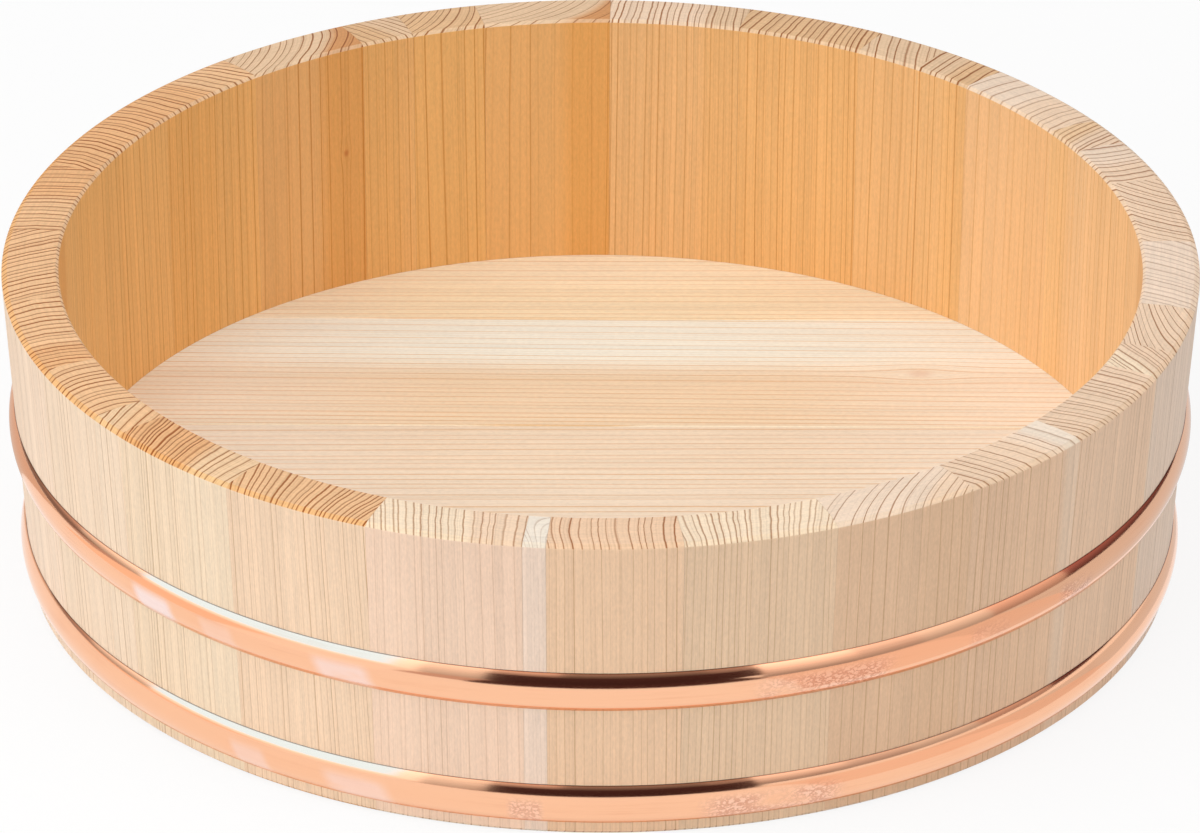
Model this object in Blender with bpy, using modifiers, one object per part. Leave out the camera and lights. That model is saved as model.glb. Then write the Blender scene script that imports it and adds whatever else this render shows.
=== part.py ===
"""Sushi rice tub: coopered cypress staves, a raised plank floor and two copper hoops.

Units are metres and +Z is up. The origin is the middle of the ring that the tub stands on, and the
front of the tub faces -Y. An angle round the tub starts at the front and grows towards +X.
"""

from math import acos, asin, cos, pi, sin, tau

import bmesh
import bpy

MM = 0.001
GAP = 0.3 * MM

# Wall: a slightly tapered ring, wider at the rim than at the foot
HEIGHT = 100 * MM
RIM_RADIUS = 180 * MM
FOOT_RADIUS = 172.7 * MM
MOUTH_RADIUS = 162.8 * MM
INNER_FLOOR_RADIUS = 161 * MM
OUTER_RIM_CHAMFER_WIDTH = 2.7 * MM
OUTER_RIM_CHAMFER_DROP = 1.5 * MM
INNER_RIM_CHAMFER = 0.9 * MM
FOOT_CHAMFER = 1 * MM

# Staves, from the one at the front: width along the rim and tone of the wood. The last stave takes
# what is left of the circle.
FIRST_JOINT_ANGLE = -7.12 * pi / 180
STAVES = [
    (47 * MM, "pink"),
    (46 * MM, "cream"),
    (46 * MM, "cream"),
    (44.5 * MM, "cream"),
    (45.5 * MM, "tan"),
    (45.5 * MM, "tan"),
    (44.5 * MM, "cream"),
    (43 * MM, "cream"),
    (44 * MM, "tan"),
    (44 * MM, "cream"),
    (45.5 * MM, "tan"),
    (44.5 * MM, "orange"),
    (45 * MM, "cream"),
    (43.5 * MM, "tan"),
    (44.5 * MM, "tan"),
    (44 * MM, "cream"),
    (44 * MM, "tan"),
    (46 * MM, "pink"),
    (45 * MM, "orange"),
    (48.5 * MM, "tan"),
    (45 * MM, "orange"),
    (46.5 * MM, "pink"),
    (45 * MM, "orange"),
    (47 * MM, "tan"),
    (None, "cream"),
]
FACETS_PER_STAVE = 4

# Bamboo pins across the stave joints
PIN_RADIUS = 1.8 * MM
PIN_TIP_RADIUS = 0.9 * MM
PIN_TIP_LENGTH = 3 * MM
PIN_LENGTH = 26 * MM
PIN_HEIGHT = 70 * MM
PIN_SIDES = 8

# Floor: boards that run from side to side, tongued and grooved, with a thinned edge in the croze
FLOOR_TOP = 18.4 * MM
FLOOR_THICKNESS = 12 * MM
FLOOR_EDGE_THICKNESS = 8 * MM
FLOOR_EDGE_TAPER = 9 * MM
CROZE_DEPTH = 5 * MM
FIRST_SEAM_Y = 117.3 * MM
BOARD_WIDTH = 71 * MM
BOARD_COUNT = 5
TONGUE_LENGTH = 5 * MM
TONGUE_THICKNESS = 4 * MM
BLANK_ALLOWANCE = 10 * MM
FLOOR_STEPS = 100

# Hoops: roll-formed half-round copper strip, hollow side to the wood
HOOPS = {"upper_hoop": (43.1 * MM, 56 * MM), "lower_hoop": (4.1 * MM, 17 * MM)}
HOOP_RISE = 2.1 * MM
HOOP_SHEET = 0.8 * MM
HOOP_STEPS = 100
HOOP_OUTER_POINTS = 7
HOOP_INNER_POINTS = 5

# Colours: linear red, green and blue
WOODS = {
    "cream": (0.80, 0.62, 0.41),
    "pink": (0.76, 0.54, 0.36),
    "tan": (0.74, 0.51, 0.30),
    "orange": (0.70, 0.43, 0.22),
    "floor": (0.83, 0.62, 0.40),
    "bamboo": (0.62, 0.50, 0.28),
}
WOOD_ROUGHNESS = 0.62
COPPER = (0.72, 0.33, 0.17)
COPPER_ROUGHNESS = 0.28

OUTER_SLOPE = (RIM_RADIUS - FOOT_RADIUS) / (HEIGHT - OUTER_RIM_CHAMFER_DROP)
INNER_SLOPE = (MOUTH_RADIUS - INNER_FLOOR_RADIUS) / (HEIGHT - INNER_RIM_CHAMFER - FLOOR_TOP)
CROZE_RADIUS = INNER_FLOOR_RADIUS + CROZE_DEPTH
CROZE_TOP = FLOOR_TOP + GAP
CROZE_FOOT = FLOOR_TOP - FLOOR_EDGE_THICKNESS - GAP
JOINT_GAP_ANGLE = GAP / MOUTH_RADIUS


def outer_radius(height):
    return FOOT_RADIUS + OUTER_SLOPE * height


def inner_radius(height):
    return INNER_FLOOR_RADIUS + INNER_SLOPE * (height - FLOOR_TOP)


def clear_scene():
    for obj in list(bpy.data.objects):
        bpy.data.objects.remove(obj, do_unlink=True)


def new_collection(name):
    collection = bpy.data.collections.new(name)
    bpy.context.scene.collection.children.link(collection)
    return collection


def new_material(name, colour, roughness, metallic=0.0):
    material = bpy.data.materials.new(name)
    material.use_nodes = True
    shader = material.node_tree.nodes["Principled BSDF"]
    shader.inputs["Base Color"].default_value = (*colour, 1.0)
    shader.inputs["Roughness"].default_value = roughness
    shader.inputs["Metallic"].default_value = metallic
    return material


def mesh_from(bm, name):
    mesh = bpy.data.meshes.new(name)
    bm.to_mesh(mesh)
    bm.free()
    mesh.shade_smooth()
    mesh.set_sharp_from_angle(angle=pi / 6)
    return mesh


def turned_mesh(profile, name, ring=False):
    """The outline of a turned shape, (radius, height) at +X, for a Screw modifier to sweep."""
    bm = bmesh.new()
    points = [bm.verts.new((radius, 0, height)) for radius, height in profile]
    for first, second in zip(points, points[1:]):
        bm.edges.new((first, second))
    if ring:
        bm.edges.new((points[-1], points[0]))
    return mesh_from(bm, name)


def add_screw(obj, steps):
    screw = obj.modifiers.new("Turn", "SCREW")
    screw.steps = steps
    screw.render_steps = steps
    screw.use_merge_vertices = True
    screw.merge_threshold = 0.05 * MM
    screw.use_smooth_shade = True


def add_boolean(obj, operation, other):
    boolean = obj.modifiers.new(operation.title(), "BOOLEAN")
    boolean.operation = operation
    boolean.solver = "EXACT"
    boolean.object = other


class Tub:
    """The collections that hold the parts and the cutters, and the empty that carries them."""

    def __init__(self):
        self.parts = new_collection("sushi_rice_tub")
        self.cutters = new_collection("sushi_rice_tub_cutters")
        self.root = bpy.data.objects.new("tub_base_centre", None)
        self.parts.objects.link(self.root)

    def add_part(self, name, mesh, material):
        obj = bpy.data.objects.new(name, mesh)
        if not mesh.materials:
            mesh.materials.append(material)
        obj.parent = self.root
        self.parts.objects.link(obj)
        return obj

    def add_cutter(self, name, mesh):
        obj = bpy.data.objects.new(name, mesh)
        obj.hide_render = True
        obj.display_type = "WIRE"
        obj.parent = self.root
        self.cutters.objects.link(obj)
        return obj


def joint_angles():
    """The angle of each stave's first edge, and the full turn's end."""
    angles = [FIRST_JOINT_ANGLE]
    for width, _ in STAVES[:-1]:
        angles.append(angles[-1] + width / RIM_RADIUS)
    angles.append(FIRST_JOINT_ANGLE + tau)
    return angles


def stave_section():
    """Outline of a stave, (radius, height): up the outside, over the rim, down past the croze."""
    return [
        (FOOT_RADIUS - FOOT_CHAMFER, 0),
        (outer_radius(FOOT_CHAMFER), FOOT_CHAMFER),
        (RIM_RADIUS, HEIGHT - OUTER_RIM_CHAMFER_DROP),
        (RIM_RADIUS - OUTER_RIM_CHAMFER_WIDTH, HEIGHT),
        (MOUTH_RADIUS + INNER_RIM_CHAMFER, HEIGHT),
        (MOUTH_RADIUS, HEIGHT - INNER_RIM_CHAMFER),
        (inner_radius(CROZE_TOP), CROZE_TOP),
        (CROZE_RADIUS, CROZE_TOP),
        (CROZE_RADIUS, CROZE_FOOT),
        (inner_radius(CROZE_FOOT), CROZE_FOOT),
        (inner_radius(FOOT_CHAMFER), FOOT_CHAMFER),
        (inner_radius(0) + FOOT_CHAMFER, 0),
    ]


def stave_mesh(width_angle, name):
    """The section swept round the tub's axis, with a closed face at each end."""
    bm = bmesh.new()
    bm.faces.new([bm.verts.new((0, -radius, height)) for radius, height in stave_section()])
    bmesh.ops.spin(
        bm,
        geom=bm.verts[:] + bm.edges[:] + bm.faces[:],
        cent=(0, 0, 0),
        axis=(0, 0, 1),
        angle=width_angle,
        steps=FACETS_PER_STAVE,
    )
    bmesh.ops.recalc_face_normals(bm, faces=bm.faces[:])
    return mesh_from(bm, name)


def make_staves(tub, woods, angles, pin_holes):
    for number, (_, tone) in enumerate(STAVES, start=1):
        start, end = angles[number - 1], angles[number]
        name = f"stave_{number:02d}"
        mesh = stave_mesh(end - start - JOINT_GAP_ANGLE, name)
        stave = tub.add_part(name, mesh, woods[tone])
        stave.rotation_euler.z = start + JOINT_GAP_ANGLE / 2
        add_boolean(stave, "DIFFERENCE", pin_holes[number - 1])
        add_boolean(stave, "DIFFERENCE", pin_holes[number % len(STAVES)])


def lay_across_joint(obj, angle):
    """Puts a piece that stands along Z at mid-wall on a stave joint, square to the joint's plane."""
    radius = (outer_radius(PIN_HEIGHT) + inner_radius(PIN_HEIGHT)) / 2
    obj.location = (radius * sin(angle), -radius * cos(angle), PIN_HEIGHT)
    obj.rotation_euler = (0, pi / 2, angle)


def make_pin_holes(tub, angles):
    bm = bmesh.new()
    bmesh.ops.create_cone(
        bm,
        cap_ends=True,
        segments=PIN_SIDES,
        radius1=PIN_RADIUS + GAP,
        radius2=PIN_RADIUS + GAP,
        depth=PIN_LENGTH + 2 * GAP,
    )
    mesh = mesh_from(bm, "stave_pin_hole")
    holes = []
    for number, angle in enumerate(angles[:-1], start=1):
        hole = tub.add_cutter(f"stave_pin_hole_{number:02d}", mesh)
        lay_across_joint(hole, angle)
        holes.append(hole)
    return holes


def make_pins(tub, bamboo, angles):
    """Bamboo pins, pointed at both ends. Pin 1 sits at the first edge of stave 1."""
    half = PIN_LENGTH / 2
    profile = [
        (0, half),
        (PIN_TIP_RADIUS, half),
        (PIN_RADIUS, half - PIN_TIP_LENGTH),
        (PIN_RADIUS, PIN_TIP_LENGTH - half),
        (PIN_TIP_RADIUS, -half),
        (0, -half),
    ]
    mesh = turned_mesh(profile, "stave_pin")
    for number, angle in enumerate(angles[:-1], start=1):
        pin = tub.add_part(f"stave_pin_{number:02d}", mesh, bamboo)
        add_screw(pin, PIN_SIDES)
        lay_across_joint(pin, angle)


def make_floor_disc(tub):
    """The round outline of the floor, thinned from below towards the edge that sits in the croze."""
    radius = CROZE_RADIUS - GAP
    edge_foot = FLOOR_TOP - FLOOR_EDGE_THICKNESS
    underside = FLOOR_TOP - FLOOR_THICKNESS
    taper_radius = inner_radius(CROZE_FOOT) - GAP
    profile = [
        (0, FLOOR_TOP),
        (radius, FLOOR_TOP),
        (radius, edge_foot),
        (taper_radius, edge_foot),
        (taper_radius - FLOOR_EDGE_TAPER, underside),
        (0, underside),
    ]
    disc = tub.add_cutter("floor_disc", turned_mesh(profile, "floor_disc"))
    add_screw(disc, FLOOR_STEPS)
    return disc


def board_section(back, front, has_groove, has_tongue):
    """Outline of a board across its length, (y, z), with its groove at the back edge."""
    top = FLOOR_TOP + BLANK_ALLOWANCE
    underside = FLOOR_TOP - FLOOR_THICKNESS - BLANK_ALLOWANCE
    tongue_middle = FLOOR_TOP - FLOOR_EDGE_THICKNESS / 2
    tongue_top = tongue_middle + TONGUE_THICKNESS / 2
    tongue_foot = tongue_middle - TONGUE_THICKNESS / 2
    back_edge = back - GAP / 2
    front_edge = front + GAP / 2
    section = [(back_edge, top), (front_edge, top)]
    if has_tongue:
        tip = front - TONGUE_LENGTH
        section += [(front_edge, tongue_top), (tip, tongue_top)]
        section += [(tip, tongue_foot), (front_edge, tongue_foot)]
    section += [(front_edge, underside), (back_edge, underside)]
    if has_groove:
        groove_end = back - TONGUE_LENGTH - GAP
        groove_top = tongue_top + GAP
        groove_foot = tongue_foot - GAP
        section += [(back_edge, groove_foot), (groove_end, groove_foot)]
        section += [(groove_end, groove_top), (back_edge, groove_top)]
    return section


def board_blank(section, name):
    """A board long enough to span the floor, before it is cut to the round outline."""
    length = 2 * RIM_RADIUS
    bm = bmesh.new()
    bm.faces.new([bm.verts.new((-length / 2, y, z)) for y, z in section])
    swept = bmesh.ops.extrude_face_region(bm, geom=bm.faces[:])["geom"]
    moved = [item for item in swept if isinstance(item, bmesh.types.BMVert)]
    bmesh.ops.translate(bm, verts=moved, vec=(length, 0, 0))
    bmesh.ops.recalc_face_normals(bm, faces=bm.faces[:])
    return mesh_from(bm, name)


def make_floor(tub, wood, disc):
    seams = [RIM_RADIUS]
    seams += [FIRST_SEAM_Y - BOARD_WIDTH * index for index in range(BOARD_COUNT - 1)]
    seams.append(-RIM_RADIUS)
    for index in range(BOARD_COUNT):
        section = board_section(
            seams[index],
            seams[index + 1],
            has_groove=index > 0,
            has_tongue=index < BOARD_COUNT - 1,
        )
        name = f"floor_board_{index + 1}"
        board = tub.add_part(name, board_blank(section, name), wood)
        add_boolean(board, "INTERSECT", disc)


def hoop_section(foot, top):
    """Closed outline of a half-round strip on the sloping wall, down the outside and up the inside."""
    half_width = (top - foot) / 2
    middle = (top + foot) / 2
    arc_radius = (half_width**2 + HOOP_RISE**2) / (2 * HOOP_RISE)
    sunk = arc_radius - HOOP_RISE
    inside_radius = arc_radius - HOOP_SHEET
    outer_reach = asin(half_width / arc_radius)
    inner_reach = acos(sunk / inside_radius)

    def on_wall(radius, turn):
        along = radius * sin(turn)
        away = radius * cos(turn) - sunk
        return (outer_radius(middle + along) + GAP + away, middle + along - OUTER_SLOPE * away)

    section = []
    for index in range(HOOP_OUTER_POINTS):
        share = 1 - 2 * index / (HOOP_OUTER_POINTS - 1)
        section.append(on_wall(arc_radius, share * outer_reach))
    for index in range(HOOP_INNER_POINTS):
        share = 2 * index / (HOOP_INNER_POINTS - 1) - 1
        section.append(on_wall(inside_radius, share * inner_reach))
    return section


def make_hoops(tub, copper):
    for name, (foot, top) in HOOPS.items():
        hoop = tub.add_part(name, turned_mesh(hoop_section(foot, top), name, ring=True), copper)
        add_screw(hoop, HOOP_STEPS)


def main():
    clear_scene()
    tub = Tub()
    woods = {tone: new_material(f"wood_{tone}", WOODS[tone], WOOD_ROUGHNESS) for tone in WOODS}
    copper = new_material("copper", COPPER, COPPER_ROUGHNESS, metallic=1.0)
    angles = joint_angles()
    pin_holes = make_pin_holes(tub, angles)
    make_staves(tub, woods, angles, pin_holes)
    make_pins(tub, woods["bamboo"], angles)
    make_floor(tub, woods["floor"], make_floor_disc(tub))
    make_hoops(tub, copper)


main()
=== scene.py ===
"""Looks of the sushi rice tub: grained cypress strips, a plank floor and two copper hoops.

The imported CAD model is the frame. Lengths in this file are millimetres until a mesh is made. An angle
round the tub starts at the front, -Y, and grows towards +X.
"""

import random
from collections import namedtuple
from math import acos, asin, atan2, ceil, cos, pi, radians, sin, tan, tau

import bmesh
import bpy
from mathutils import Matrix, Vector


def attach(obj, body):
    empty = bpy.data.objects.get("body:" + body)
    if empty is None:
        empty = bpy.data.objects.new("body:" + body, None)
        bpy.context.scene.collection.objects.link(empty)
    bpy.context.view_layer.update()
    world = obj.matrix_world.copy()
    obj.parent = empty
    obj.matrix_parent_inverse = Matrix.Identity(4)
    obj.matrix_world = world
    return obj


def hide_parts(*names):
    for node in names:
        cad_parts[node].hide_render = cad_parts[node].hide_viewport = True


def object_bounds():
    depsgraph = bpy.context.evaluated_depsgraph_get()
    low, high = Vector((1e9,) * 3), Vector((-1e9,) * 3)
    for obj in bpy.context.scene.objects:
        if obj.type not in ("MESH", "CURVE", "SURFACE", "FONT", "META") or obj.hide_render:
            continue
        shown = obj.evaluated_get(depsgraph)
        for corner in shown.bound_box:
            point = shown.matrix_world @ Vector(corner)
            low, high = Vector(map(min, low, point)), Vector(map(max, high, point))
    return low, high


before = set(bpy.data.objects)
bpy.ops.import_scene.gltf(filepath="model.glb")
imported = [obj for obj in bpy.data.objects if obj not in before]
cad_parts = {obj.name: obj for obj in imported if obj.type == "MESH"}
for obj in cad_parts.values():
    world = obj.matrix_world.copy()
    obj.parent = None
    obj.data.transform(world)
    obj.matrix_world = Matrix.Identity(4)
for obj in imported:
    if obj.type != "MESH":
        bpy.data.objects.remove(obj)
cad_box = [list(corner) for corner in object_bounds()]

MM = 0.001
SEED = 41

# Wall, as in the CAD model
HEIGHT = cad_box[1][2] / MM
RIM_RADIUS = 180
FOOT_RADIUS = 172.7
MOUTH_RADIUS = 162.8
INNER_FLOOR_RADIUS = 161
OUTER_RIM_CHAMFER_DROP = 1.5
INNER_RIM_CHAMFER = 0.9
FOOT_CHAMFER = 1
FLOOR_TOP = 18.4
CROZE_DEPTH = 5
OUTER_SLOPE = (RIM_RADIUS - FOOT_RADIUS) / (HEIGHT - OUTER_RIM_CHAMFER_DROP)
INNER_SLOPE = (MOUTH_RADIUS - INNER_FLOOR_RADIUS) / (HEIGHT - INNER_RIM_CHAMFER - FLOOR_TOP)
WALL_MIDDLE = (RIM_RADIUS + MOUTH_RADIUS) / 2
WALL_SLOPE = (OUTER_SLOPE + INNER_SLOPE) / 2
WALL_TAPER = (OUTER_SLOPE - INNER_SLOPE) / (RIM_RADIUS - MOUTH_RADIUS)
STAVE_COUNT = 25

# Fine shape that the CAD model leaves out. The top of the rim is sanded down a little towards its edge.
RIM_SLOPE_WIDTH = 1.7
RIM_CROWN_WIDTH = 8
RIM_CROWN_DROP = 0.55
HAIRLINE = 0.05
EDGE_ROUNDING = 0.6
FINE_ROUNDING = 0.3
ARC_POINTS = 4
DEGREES_PER_FACET = 1.2
SHARP_ANGLE = radians(28)

# Pin holes
PIN_HEIGHT = 70
PIN_HOLE_RADIUS = 2.1
PIN_HOLE_LENGTH = 26.6
PIN_HOLE_SIDES = 24
PIN_HOLE_MARGIN = 1

# Floor
FLOOR_THICKNESS = 12
FLOOR_EDGE_THICKNESS = 8
FLOOR_EDGE_TAPER = 9
FIRST_SEAM_Y = 117.3
BOARD_WIDTH = 71
BOARD_COUNT = 5
TONGUE_LENGTH = 5
TONGUE_THICKNESS = 4
BOARD_EDGE_BEVEL = 0.4
BLANK_ALLOWANCE = 6
DISC_STEPS = 288

# Hoops: foot and top of each
HOOPS = {"upper_hoop": (43.1, 56), "lower_hoop": (4.1, 17)}
HOOP_RISE = 2.1
HOOP_SHEET = 0.8
HOOP_STEPS = 360
HOOP_OUTER_POINTS = 25
HOOP_INNER_POINTS = 13
HOOP_WAVE = 0.05
HOOP_WAVE_COUNTS = (3, 5, 8, 13, 21)
FAINTEST_WAVE = 0.3


def colour(red, green, blue):
    """A colour picked on an ordinary 0 to 255 scale, as the linear values that shaders take.

    The numbers are those of the sRGB curve.
    """
    def linear(level):
        share = level / 255
        return share / 12.92 if share <= 0.04045 else ((share + 0.055) / 1.055) ** 2.4

    return (linear(red), linear(green), linear(blue), 1.0)


def colours(table):
    """Colours by name, from a table in which names with the same colour share a line."""
    return {name: colour(*levels) for names, levels in table.items() for name in names.split(", ")}


# Tones of cypress, from the outside of the log to its heart, and of the floor boards
TONES = colours({
    "sapwood": (239, 227, 211),
    "rose": (241, 218, 197),
    "cream": (244, 222, 194),
    "blush": (238, 214, 191),
    "pink": (238, 209, 181),
    "flesh": (234, 199, 167),
    "straw": (228, 195, 160),
    "peach": (237, 202, 162),
    "honey": (225, 185, 142),
    "tan": (236, 192, 147),
    "orange": (233, 182, 132),
    "rust": (209, 150, 99),
    "white board": (241, 239, 227),
    "pale board": (242, 224, 202),
    "cream board": (246, 233, 208),
    "pink board": (243, 223, 199),
    "peach board": (242, 218, 188),
    "sand board": (242, 226, 196),
})

# Tints of the sanded outside and planed inside of the wall, partly painted light and shade, where they
# differ from the rest
OUTSIDE_TINT = colour(233, 201, 169)
# Per strip, the outside is paler on the left, where the key lamp falls, and darker on the right front:
# partly painted light and shade
OUTSIDE_TINTS_AND_LIGHT = colours({
    "01a": (240, 214, 194),
    "01b": (234, 199, 166),
    "02a": (228, 196, 164),
    "03a": (223, 186, 152),
    "04a": (227, 191, 159),
    "05a": (233, 200, 171),
    "06a, 06b, 07a": (231, 209, 190),
    "19a, 20a, 21a": (242, 220, 198),
    "22a, 22b": (238, 216, 192),
    "23a": (239, 218, 191),
    "24a": (241, 213, 185),
    "25a": (240, 208, 184),
})
# The inside faces are darker and more orange than the outside: partly painted shade of the tub's hollow
INSIDE_TINT_AND_SHADE = colour(231, 176, 105)
# Per strip, the inside is paler on the right, where the key lamp falls: partly painted light
INSIDE_TINTS_LIGHT_AND_SHADE = colours({
    "08a, 09a, 09b": (246, 199, 138),
    "10a": (244, 194, 131),
    "11a": (245, 195, 129),
    "11b": (243, 192, 126),
    "12a": (243, 192, 124),
    "13a": (236, 185, 116),
    "14a": (236, 180, 105),
    "15a": (237, 185, 111),
    "15b": (235, 181, 107),
    "17a": (236, 184, 110),
    "18a, 19a": (241, 193, 123),
})

# Other tones of the wood: painted highlights on board bevels and the rim's inner edge, painted light at
# board ends, knots
# Painted highlight on the bevels of the boards, where light catches them
BEVEL_PAINTED_HIGHLIGHT = colour(252, 240, 216)
# Painted highlight on the inner edge of the rim, where light catches it
LIP_PAINTED_HIGHLIGHT = colour(247, 222, 188)
# Painted light at the ends of the boards, paler where the wall shades the floor and warms it with bounce
BOARD_END_PAINTED_LIGHT = colour(252, 249, 240)
KNOT = colour(196, 116, 66)

# What is left of the red, green and blue of the wood in a dark ring line
END_LINE = (0.34, 0.13, 0.01, 1.0)
OUTSIDE_LINE = (0.52, 0.36, 0.20, 1.0)
INSIDE_LINE = (0.62, 0.36, 0.06, 1.0)
BOARD_LINE = (0.80, 0.52, 0.24, 1.0)

# Bamboo and copper
BAMBOO = colour(206, 178, 116)
BAMBOO_FIBRE = colour(160, 126, 70)
COPPER = colour(254, 196, 158)
COPPER_TARNISH = colour(244, 175, 135)
# Painted shade at the lower edge of a hoop, for its darker reflection there
COPPER_LOW_EDGE_SHADE = colour(232, 160, 112)
COPPER_BLOOM = colour(255, 238, 238)
COPPER_SCUFF = colour(204, 132, 98)
# Painted shade at the top edge of a hoop, where it meets the wall
COPPER_TOP_EDGE_SHADE = colour(128, 82, 58)

# Strips of wood in each stave, by growing angle. share is the part of the stave's width. The tone goes
# from near to far at turn, a share of the strip. pitch is the space between ring lines along the rim at
# the first and last edge, in mm. lean is how far a ring line moves along the rim for each mm outwards.
# bow curves the ring lines. contrast is the strength of the lines.
Strip = namedtuple("Strip", "share near far turn pitch lean bow contrast")
STAVES = {
    1: [
        Strip(0.147, "sapwood", "sapwood", 0.5, (2.0, 2.4), (0.5, -0.2), 0.03, 0.35),
        Strip(0.853, "flesh", "flesh", 0.6, (2.4, 3.2), (0.05, 0.0), 0.01, 0.9),
    ],
    2: [Strip(1, "cream", "cream", 0.5, (1.9, 2.1), (0.0, -0.40), 0.0, 0.75)],
    3: [Strip(1, "blush", "pink", 0.85, (6.5, 3.5), (-1.1, -1.3), 0.01, 0.8)],
    4: [Strip(1, "pink", "blush", 0.7, (2.6, 5.0), (0.36, 0.28), 0.0, 0.8)],
    5: [Strip(1, "pink", "pink", 0.5, (2.3, 2.6), (0.29, 0.0), 0.0, 0.75)],
    6: [
        Strip(0.366, "cream", "pink", 0.5, (2.1, 2.3), (-0.7, -0.65), 0.0, 0.8),
        Strip(0.634, "pink", "pink", 0.5, (4.2, 5.0), (-1.9, -2.1), 0.06, 1.0),
    ],
    7: [Strip(1, "rose", "rose", 0.7, (2.4, 3.6), (-0.44, -0.44), 0.0, 0.55)],
    8: [Strip(1, "pink", "pink", 0.6, (3.0, 3.2), (-0.62, -0.89), 0.02, 0.9)],
    9: [
        Strip(0.607, "pink", "blush", 0.5, (2.7, 3.0), (0.0, 0.0), 0.02, 0.85),
        Strip(0.393, "pink", "peach", 0.5, (2.1, 2.1), (0.36, 0.36), 0.0, 0.9),
    ],
    10: [Strip(1, "pink", "blush", 0.5, (3.0, 4.5), (0.05, -0.05), 0.0, 0.65)],
    11: [
        Strip(0.483, "honey", "straw", 0.5, (3.0, 3.0), (0.11, 0.11), 0.0, 1.0),
        Strip(0.517, "straw", "straw", 0.5, (3.3, 3.3), (0.50, 0.46), 0.0, 1.0),
    ],
    12: [Strip(1, "honey", "honey", 0.5, (1.8, 2.7), (0.13, -0.11), 0.0, 1.0)],
    13: [Strip(1, "straw", "pink", 0.3, (2.1, 2.1), (0.05, -0.05), 0.0, 0.95)],
    14: [Strip(1, "rust", "straw", 0.10, (4.2, 5.0), (-0.62, -2.0), 0.02, 1.0)],
    15: [
        Strip(0.577, "honey", "honey", 0.5, (2.8, 3.0), (-0.44, -1.08), 0.01, 1.0),
        Strip(0.423, "straw", "honey", 0.5, (2.6, 2.6), (0.52, 0.52), 0.0, 1.0),
    ],
    16: [Strip(1, "rust", "straw", 0.17, (3.2, 3.8), (-0.62, -1.34), 0.02, 1.0)],
    17: [Strip(1, "tan", "orange", 0.5, (2.6, 2.6), (0.36, 0.17), 0.0, 1.0)],
    18: [Strip(1, "orange", "orange", 0.8, (2.4, 2.4), (0.04, -0.04), 0.01, 1.0)],
    19: [Strip(1, "orange", "tan", 0.5, (2.5, 2.5), (0.11, 0.11), 0.0, 1.0)],
    20: [Strip(1, "tan", "tan", 0.5, (2.5, 2.6), (0.36, 0.36), 0.0, 1.0)],
    21: [Strip(1, "tan", "orange", 0.72, (2.7, 2.3), (0.05, -0.05), 0.01, 1.0)],
    22: [
        Strip(0.716, "tan", "tan", 0.5, (2.3, 2.7), (0.05, -0.03), 0.02, 1.0),
        Strip(0.284, "peach", "tan", 0.5, (3.2, 3.2), (0.50, 0.46), 0.0, 1.0),
    ],
    23: [Strip(1, "orange", "peach", 0.60, (1.4, 3.6), (0.36, 0.0), 0.0, 1.0)],
    24: [Strip(1, "tan", "tan", 0.6, (2.5, 1.6), (0.29, -0.17), 0.0, 1.0)],
    25: [Strip(1, "cream", "pink", 0.65, (1.9, 2.7), (0.27, 0.17), 0.0, 0.75)],
}

# Floor boards from the back: tones from the front edge of each to its back edge, grain as for the strips
BOARDS = [
    Strip(1, "sand board", "cream board", 0.38, (2.9, 3.2), (-1.5, -1.2), 0.0, 0.75),
    Strip(1, "peach board", "white board", 0.55, (2.5, 4.5), (-1.2, -0.8), 0.0, 0.95),
    Strip(1, "pale board", "pink board", 0.6, (3.4, 3.2), (0.8, 1.2), 0.0, 1.05),
    Strip(1, "cream board", "pale board", 0.5, (3.6, 3.2), (-0.6, -1.0), 0.0, 0.75),
    Strip(1, "pale board", "pink board", 0.5, (3.4, 3.8), (0.7, 1.0), 0.0, 0.75),
]

# Pale sapwood along the last edge of a strip: its width in mm. Other strips have it far outside.
SAPWOOD_WIDTHS = {"04a": 7.0}
FAR_OUTSIDE = 1000

# Knots: place from the piece's own middle, in mm along its width and along its grain, radius, strength
STAVE_KNOTS = {16: (-13.0, 64.0, 0.8, 0.7)}
BOARD_KNOTS = {2: (0.5, 99.0, 2.6, 0.22)}
NO_KNOT = (0.0, 1000.0, 1.0, 0.0)


def outer_radius(height):
    return FOOT_RADIUS + OUTER_SLOPE * height


def inner_radius(height):
    return INNER_FLOOR_RADIUS + INNER_SLOPE * (height - FLOOR_TOP)


def on_circle(radius, angle, height):
    return Vector((radius * sin(angle), -radius * cos(angle), height))


def rounded(corners):
    """Outline points of a polygon of (x, y, rounding) corners, with an arc at each rounded corner."""
    points = []
    for index, (x, y, rounding) in enumerate(corners):
        if not rounding:
            points.append((x, y))
            continue
        corner = Vector((x, y))
        before = (Vector(corners[index - 1][:2]) - corner).normalized()
        after = (Vector(corners[(index + 1) % len(corners)][:2]) - corner).normalized()
        half_turn = before.angle(after) / 2
        centre = corner + (before + after).normalized() * rounding / sin(half_turn)
        reach = rounding / tan(half_turn)
        start = corner + before * reach - centre
        end = corner + after * reach - centre
        for step in range(ARC_POINTS + 1):
            spoke = start.lerp(end, step / ARC_POINTS).normalized() * rounding
            points.append(tuple(centre + spoke))
    return points


def finish_mesh(bm, name):
    bmesh.ops.recalc_face_normals(bm, faces=bm.faces[:])
    mesh = bpy.data.meshes.new(name)
    bm.to_mesh(mesh)
    bm.free()
    mesh.transform(Matrix.Scale(MM, 4))
    return mesh


def bridge(bm, first, second):
    """Faces between two closed rows of points."""
    for index in range(len(first)):
        bm.faces.new((first[index - 1], first[index], second[index], second[index - 1]))


def shade(mesh):
    mesh.shade_smooth()
    mesh.set_sharp_from_angle(angle=SHARP_ANGLE)


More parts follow.
